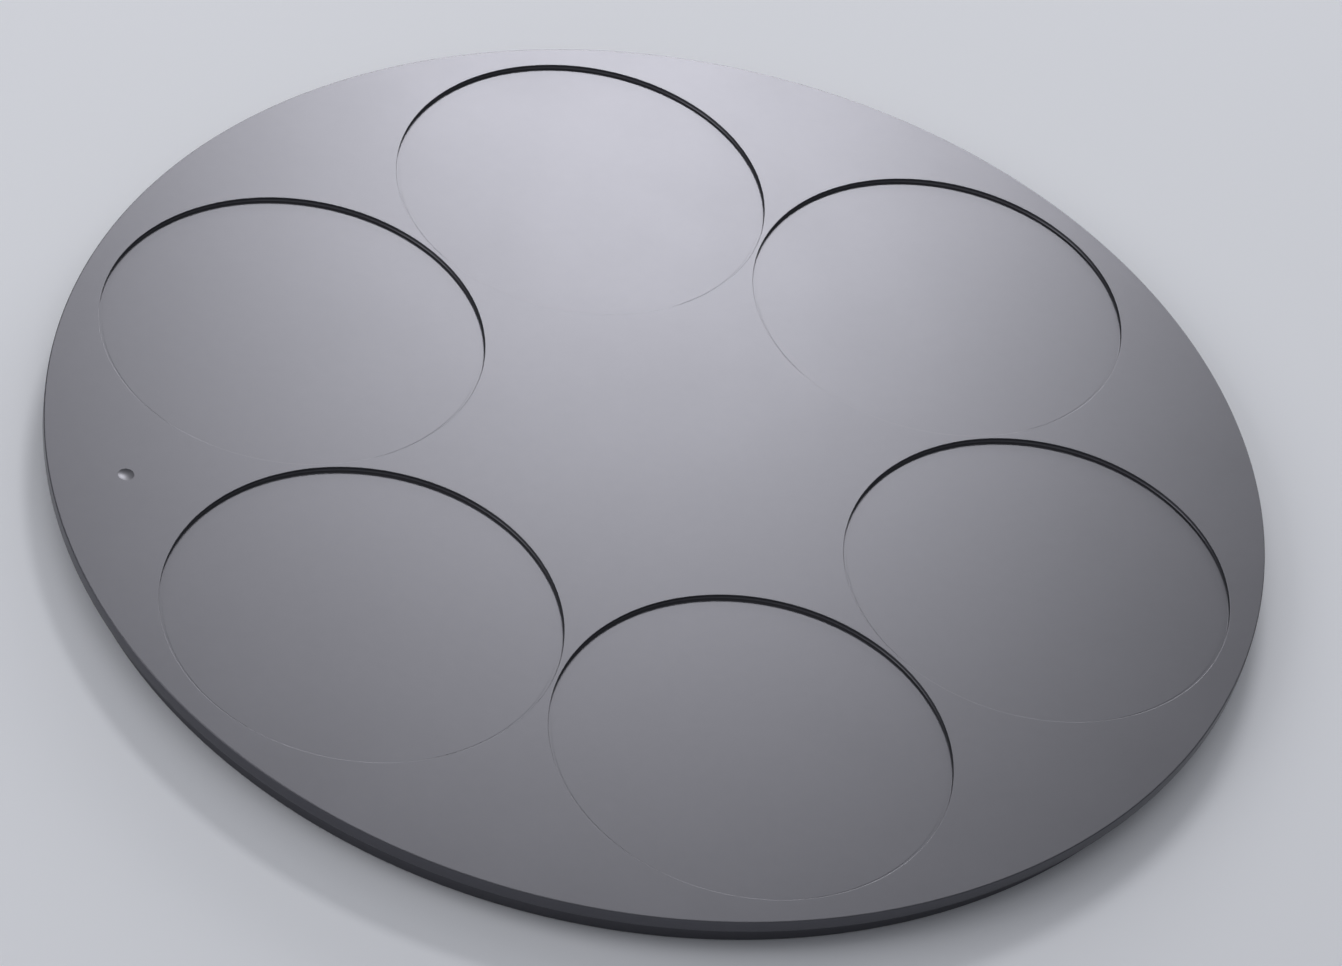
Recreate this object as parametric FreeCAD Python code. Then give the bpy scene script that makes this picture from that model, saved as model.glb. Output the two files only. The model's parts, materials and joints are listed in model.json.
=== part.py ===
import FreeCAD, Part

import math
import os

# Round carrier tray for wafers, machined from one block of graphite and coated all over.
# The origin is at the middle of the underside, +Z points up out of the pockets,
# the first pocket lies on +Y and the index mark on -X. Lengths are in millimetres.

# The wafers and the pockets that hold them
wafer_diameter = 100.0
wafer_clearance = 0.5
pocket_count = 6
pocket_web = 1.2
pocket_depth = 1.1
pocket_mouth_round = 0.15
relief_width = 0.9
relief_depth = 0.05

# The disc: a thin lip all round on top of a smaller, thicker foot
rim_land = 6.8
tray_thickness = 11.0
lip_thickness = 3.5
lip_overhang = 3.5
lip_top_round = 0.3
lip_lower_round = 0.3
neck_fillet = 0.5
foot_round = 0.8

# The index mark, a shallow dimple left by a ball-nosed cutter midway between two pockets
mark_cutter_diameter = 20.0
mark_depth = 0.22
mark_inset = 19.4

first_pocket_angle = 90.0
cutter_overrun = 1.0

pocket_radius = wafer_diameter / 2 + wafer_clearance
pocket_angle = 360.0 / pocket_count
ring_radius = (pocket_radius + pocket_web / 2) / math.sin(math.radians(pocket_angle / 2))
lip_radius = ring_radius + pocket_radius + rim_land
foot_radius = lip_radius - lip_overhang
lip_underside = tray_thickness - lip_thickness
pocket_floor = tray_thickness - pocket_depth
relief_floor = pocket_floor - relief_depth
mark_angle = first_pocket_angle + 90.0
mark_radius = lip_radius - mark_inset

# Neighbouring mouths share the web, so their rounds together stay narrower than it
mouth_round = min(pocket_mouth_round, pocket_web * 0.4)


def polar(radius, angle, height):
    """A point at a radius and an angle in degrees about the tray's axis."""
    turn = math.radians(angle)
    return FreeCAD.Vector(radius * math.cos(turn), radius * math.sin(turn), height)


def circles(shape, radius, height):
    """The circular edges of a shape that have one radius and lie at one height."""
    found = []
    for edge in shape.Edges:
        curve = edge.Curve
        if not isinstance(curve, Part.Circle):
            continue
        if abs(curve.Radius - radius) < 1e-4 and abs(curve.Center.z - height) < 1e-4:
            found.append(edge)
    return found


def disc():
    """The turned blank: the lip and the foot below it, with their edges rounded."""
    foot = Part.makeCylinder(foot_radius, tray_thickness)
    lip = Part.makeCylinder(lip_radius, lip_thickness, FreeCAD.Vector(0, 0, lip_underside))
    blank = foot.fuse(lip).removeSplitter()
    blank = blank.makeFillet(neck_fillet, circles(blank, foot_radius, lip_underside))
    blank = blank.makeFillet(foot_round, circles(blank, foot_radius, 0))
    blank = blank.makeFillet(lip_lower_round, circles(blank, lip_radius, lip_underside))
    return blank.makeFillet(lip_top_round, circles(blank, lip_radius, tray_thickness))


def pocket_cutter():
    """What is milled out of one pocket, with a shallow relief round the edge of its floor."""
    depth = pocket_depth + relief_depth
    sweep = Part.makeCylinder(pocket_radius, depth + cutter_overrun)
    island = Part.makeCylinder(pocket_radius - relief_width, relief_depth)
    return sweep.cut(island)


def mark_cutter():
    """The ball that leaves the index mark, centred above the top face."""
    ball_radius = mark_cutter_diameter / 2
    height = tray_thickness - mark_depth + ball_radius
    return Part.makeSphere(ball_radius, polar(mark_radius, mark_angle, height))


def wafer_tray():
    """The whole tray: the disc with its ring of pockets and its index mark."""
    tray = disc()
    cutter = pocket_cutter()
    for index in range(pocket_count):
        angle = first_pocket_angle - index * pocket_angle
        tray = tray.cut(cutter.translated(polar(ring_radius, angle, relief_floor)))
    tray = tray.makeFillet(mouth_round, circles(tray, pocket_radius, tray_thickness))
    return tray.cut(mark_cutter())


os.makedirs("parts", exist_ok=True)
wafer_tray().exportStep("parts/wafer_tray.step")
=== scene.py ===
import json
from math import cos, pi, radians, sin

import bmesh
import bpy
from mathutils import Matrix, Vector


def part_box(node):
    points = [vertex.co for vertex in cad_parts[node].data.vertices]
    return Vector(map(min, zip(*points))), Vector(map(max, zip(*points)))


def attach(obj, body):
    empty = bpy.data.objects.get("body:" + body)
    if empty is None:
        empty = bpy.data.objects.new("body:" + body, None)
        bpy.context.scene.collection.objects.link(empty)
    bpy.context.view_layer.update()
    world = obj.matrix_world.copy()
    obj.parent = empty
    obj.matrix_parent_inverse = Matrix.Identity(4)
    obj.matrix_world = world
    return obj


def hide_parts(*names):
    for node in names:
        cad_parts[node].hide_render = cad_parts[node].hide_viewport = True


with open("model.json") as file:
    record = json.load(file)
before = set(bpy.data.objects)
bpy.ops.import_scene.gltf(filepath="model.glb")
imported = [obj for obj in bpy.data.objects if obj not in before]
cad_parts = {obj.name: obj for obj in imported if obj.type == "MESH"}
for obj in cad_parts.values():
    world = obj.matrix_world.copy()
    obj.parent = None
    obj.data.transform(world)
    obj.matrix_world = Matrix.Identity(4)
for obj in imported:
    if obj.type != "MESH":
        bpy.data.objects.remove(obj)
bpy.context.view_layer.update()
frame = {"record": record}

scene = bpy.context.scene

# The blank of the tray: one block of fine-grained graphite, turned to a disc with a thin lip
# all round on top of a smaller foot. Its overall size comes from the frame, and its turned
# edges are worked as rings that start at the top face and end in the flat underside.
low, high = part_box("wafer_tray")
top = high.z
underside = low.z
lip_radius = min(high.x, high.y, -low.x, -low.y)
lip_thickness = 0.0035
lip_overhang = 0.0035
lip_top_round = 0.0003
lip_lower_round = 0.0003
neck_fillet = 0.0005
foot_round = 0.0008
foot_radius = lip_radius - lip_overhang
lip_underside = top - lip_thickness
rim_facets = 480
lip_top_steps = 8
lip_lower_steps = 4
neck_steps = 5
foot_steps = 8
land_per_round = 1.5
ring_slack = 0.00002


def down(distance):
    """A move straight down."""
    return Vector((0, 0, -distance))


def ring_edges(mesh, radius, height, centre=Vector((0, 0, 0))):
    """The edges of the ring that has one radius round a centre and lies at one height."""
    found = []
    for edge in mesh.edges:
        ends = [corner.co - centre for corner in edge.verts]
        round_it = all(abs(end.xy.length - radius) < ring_slack for end in ends)
        level_with_it = all(abs(end.z + centre.z - height) < ring_slack for end in ends)
        if round_it and level_with_it:
            found.append(edge)
    return found


def next_ring(mesh, edges, move=Vector((0, 0, 0)), widen=1.0, centre=Vector((0, 0, 0))):
    """Extrudes a ring of edges, moves it and widens it about a centre."""
    made = bmesh.ops.extrude_edge_only(mesh, edges=edges)["geom"]
    corners = [part for part in made if isinstance(part, bmesh.types.BMVert)]
    bmesh.ops.translate(mesh, verts=corners, vec=move)
    about = Matrix.Translation(-centre)
    bmesh.ops.scale(mesh, verts=corners, vec=(widen, widen, 1), space=about)
    return [part for part in made if isinstance(part, bmesh.types.BMEdge)]


def open_ring(mesh, radius, height, facets, centre=Vector((0, 0, 0))):
    """A bare circle of edges round a centre."""
    place = Matrix.Translation((centre.x, centre.y, height))
    made = bmesh.ops.create_circle(mesh, cap_ends=False, radius=radius, segments=facets, matrix=place)
    return list(dict.fromkeys(edge for corner in made["verts"] for edge in corner.link_edges))


def set_face_order(mesh):
    """Lists the faces by their first two corners, which no two faces share in one direction."""
    mesh.verts.index_update()
    count = len(mesh.verts)
    mesh.faces.sort(key=lambda face: face.verts[0].index * count + face.verts[1].index)


def round_off(mesh, edges, radius, steps):
    """Rounds a ring of edges."""
    bmesh.ops.bevel(mesh, geom=edges, offset=radius, offset_type="OFFSET", segments=steps, profile=0.5,
                    affect="EDGES", clamp_overlap=False, material=-1)


blank = bmesh.new()
edge_land = foot_round * land_per_round
face_edges = open_ring(blank, lip_radius - edge_land, top, rim_facets)
rim = next_ring(blank, face_edges, widen=lip_radius / (lip_radius - edge_land))
rim = next_ring(blank, rim, move=down(lip_thickness))
rim = next_ring(blank, rim, widen=foot_radius / lip_radius)
rim = next_ring(blank, rim, move=down(lip_underside - underside))
rim = next_ring(blank, rim, widen=(foot_radius - edge_land) / foot_radius)
bmesh.ops.edgeloop_fill(blank, edges=rim)

# The six pockets: equal flat seats for wafers, milled from above in an even ring. Each has a
# square wall, a shallow relief round its floor so that a wafer lies flat, and a broken edge
# at its mouth. Their places and the height of their floors are the frame's mounts.
seats = [Vector(m["pos_m"]) for m in frame["record"]["mounts"] if m["name"].startswith("pocket_")]
pocket_radius = 0.0505
relief_width = 0.0009
relief_depth = 0.00005
mouth_round = 0.00015
mouth_land = mouth_round * land_per_round
mouth_steps = 5
pocket_facets = 288

for seat in seats:
    depth = top - seat.z
    mouth = open_ring(blank, pocket_radius + mouth_land, top, pocket_facets, seat)
    face_edges += mouth
    wall = next_ring(blank, mouth, widen=pocket_radius / (pocket_radius + mouth_land), centre=seat)
    wall = next_ring(blank, wall, move=down(depth + relief_depth))
    island = next_ring(blank, wall, widen=(pocket_radius - relief_width) / pocket_radius, centre=seat)
    floor_edge = next_ring(blank, island, move=down(-relief_depth))
    bmesh.ops.edgeloop_fill(blank, edges=floor_edge)

# The index mark: a shallow dimple that a ball-nosed cutter left near the edge, midway between
# two pockets, to show which way round the tray lies. It is the lower cap of the cutter's ball.
mark_cutter_radius = 0.010
mark_depth = 0.00022
mark_distance = 0.1401
mark_centre = Vector((-mark_distance, 0, top - mark_depth + mark_cutter_radius))
mark_facets = 48
ball_rings = 480
cut_slack = 0.0000001

ball = bmesh.new()
bmesh.ops.create_uvsphere(ball, u_segments=mark_facets, v_segments=ball_rings, radius=mark_cutter_radius,
                          matrix=Matrix.Translation(mark_centre))
bmesh.ops.bisect_plane(ball, geom=ball.verts[:] + ball.edges[:] + ball.faces[:], dist=cut_slack,
                       plane_co=(0, 0, top), plane_no=(0, 0, 1), clear_outer=True)
cap = bpy.data.meshes.new("index_mark")
ball.to_mesh(cap)
ball.free()
before = set(blank.edges)
blank.from_mesh(cap)
bpy.data.meshes.remove(cap)
face_edges += [edge for edge in blank.edges if edge not in before and edge.is_boundary]

# The top face closes the blank between the rim, the six mouths and the mark, and then the
# turned and milled edges are rounded as a cutter and the coat leave them. The faces are listed
# in one set order, so that each run gives the same mesh.
weld_distance = 0.000001
level_enough = 0.99999
bmesh.ops.triangle_fill(blank, use_beauty=True, use_dissolve=False, edges=face_edges, normal=(0, 0, 1))
bmesh.ops.remove_doubles(blank, verts=blank.verts, dist=weld_distance)
bmesh.ops.recalc_face_normals(blank, faces=blank.faces)
round_off(blank, ring_edges(blank, lip_radius, top), lip_top_round, lip_top_steps)
round_off(blank, ring_edges(blank, lip_radius, lip_underside), lip_lower_round, lip_lower_steps)
round_off(blank, ring_edges(blank, foot_radius, lip_underside), neck_fillet, neck_steps)
round_off(blank, ring_edges(blank, foot_radius, underside), foot_round, foot_steps)
for seat in seats:
    round_off(blank, ring_edges(blank, pocket_radius, top, seat), mouth_round, mouth_steps)
for face in blank.faces:
    face.smooth = abs(face.normal.z) < level_enough
set_face_order(blank)
tray_mesh = bpy.data.meshes.new("tray")
blank.to_mesh(tray_mesh)
blank.free()
tray = bpy.data.objects.new("tray", tray_mesh)
scene.collection.objects.link(tray)

# The finish: a hard, dense carbide coat, grown over the whole graphite tray in a furnace. It is
# satin grey with a trace of blue and shines nearly as a metal does. It grows as fine crystals,
# so its tone and gloss waver very slightly, and its face is faintly pebbled.
coat_tone_dark = (0.1055, 0.1050, 0.1188, 1)
coat_tone_light = (0.1125, 0.1120, 0.1268, 1)
coat_metallic = 0.85
gloss_smooth = 0.332
gloss_dull = 0.348
cloud_size = 0.030
mottle_size = 0.0030
crystal_size = 0.0006
cloud_detail = 2
mottle_detail = 3
crystal_detail = 2
cloud_share = 0.5
mottle_share = 0.5
pebble_height = 0.000001
noise_low = 0.2
noise_high = 0.8

graphite = bpy.data.materials.new("coated_graphite")
graphite.use_nodes = True
nodes, links = graphite.node_tree.nodes, graphite.node_tree.links
shader = nodes["Principled BSDF"]
shader.inputs["Metallic"].default_value = coat_metallic
where = nodes.new("ShaderNodeTexCoord")


def coat_noise(size, detail):
    """A noise on the tray's own coordinates with spots of about one size."""
    noise = nodes.new("ShaderNodeTexNoise")
    noise.inputs["Scale"].default_value = 1 / size
    noise.inputs["Detail"].default_value = detail
    links.new(where.outputs["Object"], noise.inputs["Vector"])
    return noise.outputs["Fac"]


def spread(value, least, most):
    """Takes the whole run of a noise to a range of values."""
    stretch = nodes.new("ShaderNodeMapRange")
    stretch.inputs["From Min"].default_value = noise_low
    stretch.inputs["From Max"].default_value = noise_high
    stretch.inputs["To Min"].default_value = least
    stretch.inputs["To Max"].default_value = most
    links.new(value, stretch.inputs["Value"])
    return stretch.outputs["Result"]


cloud = coat_noise(cloud_size, cloud_detail)
mottle = coat_noise(mottle_size, mottle_detail)
crystals = coat_noise(crystal_size, crystal_detail)
tone = nodes.new("ShaderNodeMath")
tone.operation = "ADD"
links.new(spread(cloud, 0, cloud_share), tone.inputs[0])
links.new(spread(mottle, 0, mottle_share), tone.inputs[1])
colour = nodes.new("ShaderNodeMix")
colour.data_type = "RGBA"
colour.inputs["A"].default_value = coat_tone_dark
colour.inputs["B"].default_value = coat_tone_light
links.new(tone.outputs["Value"], colour.inputs["Factor"])
links.new(colour.outputs["Result"], shader.inputs["Base Color"])
links.new(spread(cloud, gloss_smooth, gloss_dull), shader.inputs["Roughness"])
pebbles = nodes.new("ShaderNodeBump")
pebbles.inputs["Distance"].default_value = pebble_height
links.new(crystals, pebbles.inputs["Height"])
links.new(pebbles.outputs["Normal"], shader.inputs["Normal"])
tray_mesh.materials.append(graphite)

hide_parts("wafer_tray")
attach(tray, "root")

# The floor: a plain pale sheet that the tray lies on and throws its shadow on. The camera and
# reflections see its pale paint, and its bounced light is that of a slightly darker grey.
floor_size = 4.0
floor_drop = 0.0001
floor_bounced = (0.60, 0.60, 0.61, 1)
floor_seen = (0.86, 0.87, 0.92, 1)
floor_roughness = 0.9
floor_gloss = 0.1
sheet = bmesh.new()
bmesh.ops.create_grid(sheet, x_segments=1, y_segments=1, size=floor_size / 2,
                      matrix=Matrix.Translation((0, 0, underside - floor_drop)))
floor_mesh = bpy.data.meshes.new("floor")
sheet.to_mesh(floor_mesh)
sheet.free()
floor = bpy.data.objects.new("floor", floor_mesh)
scene.collection.objects.link(floor)
pale = bpy.data.materials.new("pale_floor")
pale.use_nodes = True
nodes, links = pale.node_tree.nodes, pale.node_tree.links
ray = nodes.new("ShaderNodeLightPath")
mirrored = nodes.new("ShaderNodeMath")
mirrored.operation = "MAXIMUM"
links.new(ray.outputs["Is Glossy Ray"], mirrored.inputs[0])
links.new(ray.outputs["Is Transmission Ray"], mirrored.inputs[1])
seen = nodes.new("ShaderNodeMath")
seen.operation = "MAXIMUM"
links.new(ray.outputs["Is Camera Ray"], seen.inputs[0])
links.new(mirrored.outputs["Value"], seen.inputs[1])
paint = nodes.new("ShaderNodeMix")
paint.data_type = "RGBA"
paint.inputs["A"].default_value = floor_bounced
paint.inputs["B"].default_value = floor_seen
links.new(seen.outputs["Value"], paint.inputs["Factor"])
links.new(paint.outputs["Result"], nodes["Principled BSDF"].inputs["Base Color"])
nodes["Principled BSDF"].inputs["Roughness"].default_value = floor_roughness
nodes["Principled BSDF"].inputs["Specular IOR Level"].default_value = floor_gloss
floor_mesh.materials.append(pale)

# The light: a soft box behind the tray, whose reflection is the bright sweep over its far side,
# dim ones behind it for the rest of the face and the fine edges, one overhead and one at the
# left that light the floor, which the tray's side mirrors, and a faint even light all round.
room_colour = (0.90, 0.94, 1.0, 1)
room_brightness = 0.20
world = bpy.data.worlds.new("studio")
scene.world = world
world.use_nodes = True
world.node_tree.nodes["Background"].inputs["Color"].default_value = room_colour
world.node_tree.nodes["Background"].inputs["Strength"].default_value = room_brightness


def soft_box(name, azimuth, elevation, distance, width, height, brightness, turn=0):
    """A soft box that faces the tray's centre; azimuth is from +Y towards +X."""
    lamp = bpy.data.lights.new(name, "AREA")
    lamp.shape = "RECTANGLE"
    lamp.size = width
    lamp.size_y = height
    lamp.energy = brightness * pi * width * height
    box = bpy.data.objects.new(name, lamp)
    level = cos(elevation)
    place = distance * Vector((sin(azimuth) * level, cos(azimuth) * level, sin(elevation)))
    facing = place.to_track_quat("Z", "Y").to_matrix().to_4x4()
    box.matrix_world = Matrix.Translation(place) @ facing @ Matrix.Rotation(turn, 4, "Z")
    scene.collection.objects.link(box)


soft_box("back_soft_box", azimuth=radians(18.5), elevation=radians(37.0), distance=2.0,
         width=0.496, height=0.223, brightness=25.6, turn=radians(-17.1))
soft_box("wide_soft_box", azimuth=radians(18), elevation=radians(45), distance=2.0,
         width=3.0, height=2.0, brightness=0.05)
soft_box("low_soft_box", azimuth=radians(24), elevation=radians(13), distance=2.4,
         width=3.0, height=0.7, brightness=4.5)
soft_box("left_soft_box", azimuth=radians(-9), elevation=radians(46), distance=2.0,
         width=0.6, height=0.6, brightness=0.8)
soft_box("front_soft_box", azimuth=radians(201), elevation=radians(72), distance=2.2,
         width=2.4, height=2.4, brightness=0.45)
soft_box("side_soft_box", azimuth=radians(-85), elevation=radians(35), distance=1.6,
         width=1.0, height=1.0, brightness=1.7)

# The camera stands where the photograph's did, found from the circles of the pockets: its
# direction, its distance and its slight roll, aimed at one point of the top face.
view_azimuth = radians(-21.451)
view_elevation = radians(43.674)
view_roll = radians(12.607)
view_distance = 1.3728
focal_length = 143.1
sensor_width = 36
aim = Vector((-0.00026, -0.01166, top))
level = cos(view_elevation)
back = Vector((sin(view_azimuth) * level, -cos(view_azimuth) * level, sin(view_elevation)))
right = Vector((cos(view_azimuth), sin(view_azimuth), 0))
up = back.cross(right)
turned_right = cos(view_roll) * right + sin(view_roll) * up
turned_up = cos(view_roll) * up - sin(view_roll) * right
lens = bpy.data.cameras.new("camera")
lens.sensor_width = sensor_width
lens.lens = focal_length
camera = bpy.data.objects.new("camera", lens)
stand = Matrix.Translation(aim + view_distance * back)
camera.matrix_world = stand @ Matrix((turned_right, turned_up, back)).transposed().to_4x4()
scene.collection.objects.link(camera)
scene.camera = camera

scene.view_settings.view_transform = "Standard"
